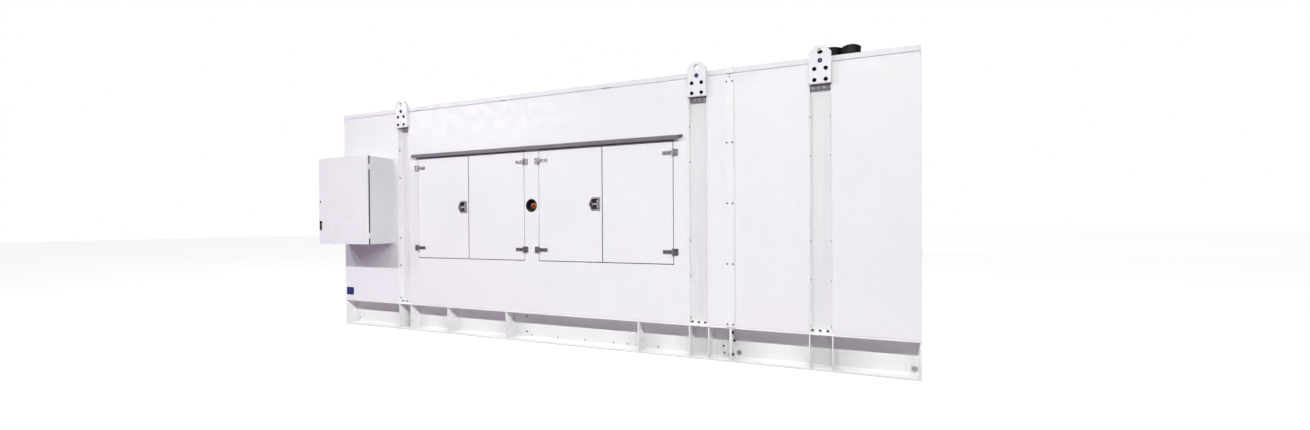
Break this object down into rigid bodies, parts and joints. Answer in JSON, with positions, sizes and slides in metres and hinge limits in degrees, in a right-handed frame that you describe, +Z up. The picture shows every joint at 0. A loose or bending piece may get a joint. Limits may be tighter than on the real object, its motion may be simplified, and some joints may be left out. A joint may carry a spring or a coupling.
{
  "type": "generator set",
  "caption": "Enclosed generator set: steel base frame, sound-proof canopy with lifting posts and lugs, double service doors, control cabinet, emergency stop and roof exhausts",
  "frame": {"origin": "on the ground under the middle cross member of the base, halfway along the set and halfway between its side walls", "axes": "+X along the set from the control cabinet end to the exhaust end, +Y from the door side to the rear, +Z up"},
  "size_m": [6.48, 2.548, 3.073],
  "materials": {
    "frame_white": "satin powder coat",
    "canopy_white": "satin powder coat",
    "louvre_white": "satin powder coat",
    "base_grey": "satin",
    "cabinet_grey": "textured powder coat",
    "gutter_metal": "satin",
    "stainless": "satin",
    "exhaust_black": "satin",
    "cup_black": "matte",
    "stop_yellow": "gloss",
    "stop_red": "gloss"
  },
  "bodies": {
    "housing": {"main_rails": "frame_white", "main_rail_plates": "frame_white", "end_rails": "frame_white", "end_rail_plates": "frame_white", "cross_members": "base_grey", "floor_plates": "base_grey", "lifting_posts": "frame_white", "lifting_lugs": "frame_white", "front_left_wall": "canopy_white", "front_right_walls": "canopy_white", "front_sill_wall": "canopy_white", "front_lintel_wall": "canopy_white", "front_side_piers": "canopy_white", "front_middle_pier": "canopy_white", "rear_walls": "canopy_white", "end_walls": "canopy_white", "louvres": "louvre_white", "door_frames": "canopy_white", "rear_doors": "canopy_white", "rear_straps": "stainless", "rear_hinge_brackets": "stainless", "rear_latches": "stainless", "front_hinge_brackets": "stainless", "gutters": "gutter_metal", "main_roof": "canopy_white", "end_roof": "canopy_white", "joint_strips": "frame_white", "exhaust_outlets": "exhaust_black", "control_cabinet": "cabinet_grey", "stop_cup": "cup_black", "stop_collar": "stop_yellow"},
    "door_1": {"door_1": "canopy_white", "door_1_straps": "stainless", "latch_dish_1": "stainless"},
    "door_2": {"door_2": "canopy_white", "door_2_straps": "stainless"},
    "door_3": {"door_3": "canopy_white", "door_3_straps": "stainless", "latch_dish_3": "stainless"},
    "door_4": {"door_4": "canopy_white", "door_4_straps": "stainless"},
    "latch_handle_1": {"latch_handle_1": "stainless"},
    "latch_handle_3": {"latch_handle_3": "stainless"},
    "cabinet_door": {"cabinet_door": "cabinet_grey"},
    "cabinet_handle": {"cabinet_handle": "stainless"},
    "stop_button": {"stop_button": "stop_red"}
  },
  "joints": [
    {"name": "door_1_hinge", "type": "hinge", "parent": "housing", "child": "door_1", "pos_m": [-1.998, -1.11, 1.4275], "axis": [0, 0, -1], "range_deg": [0, 90]},
    {"name": "door_2_hinge", "type": "hinge", "parent": "housing", "child": "door_2", "pos_m": [-0.502, -1.11, 1.4275], "axis": [0, 0, 1], "range_deg": [0, 90]},
    {"name": "door_3_hinge", "type": "hinge", "parent": "housing", "child": "door_3", "pos_m": [-0.316, -1.11, 1.4275], "axis": [0, 0, -1], "range_deg": [0, 90]},
    {"name": "door_4_hinge", "type": "hinge", "parent": "housing", "child": "door_4", "pos_m": [1.18, -1.11, 1.4275], "axis": [0, 0, 1], "range_deg": [0, 90]},
    {"name": "latch_1_pull", "type": "hinge", "parent": "door_1", "child": "latch_handle_1", "pos_m": [-1.363, -1.092, 1.4275], "axis": [0, 0, -1], "range_deg": [0, 80]},
    {"name": "latch_3_pull", "type": "hinge", "parent": "door_3", "child": "latch_handle_3", "pos_m": [0.319, -1.092, 1.4275], "axis": [0, 0, -1], "range_deg": [0, 80]},
    {"name": "cabinet_door_hinge", "type": "hinge", "parent": "housing", "child": "cabinet_door", "pos_m": [-2.393, -1.377, 1.516], "axis": [0, 0, 1], "range_deg": [0, 120]},
    {"name": "cabinet_handle_turn", "type": "hinge", "parent": "cabinet_door", "child": "cabinet_handle", "pos_m": [-3.164, -1.406, 1.272], "axis": [0, -1, 0], "range_deg": [0, 90]},
    {"name": "stop_button_push", "type": "slide", "parent": "housing", "child": "stop_button", "axis": [0, 1, 0], "range_m": [0, 0.006]}
  ]
}
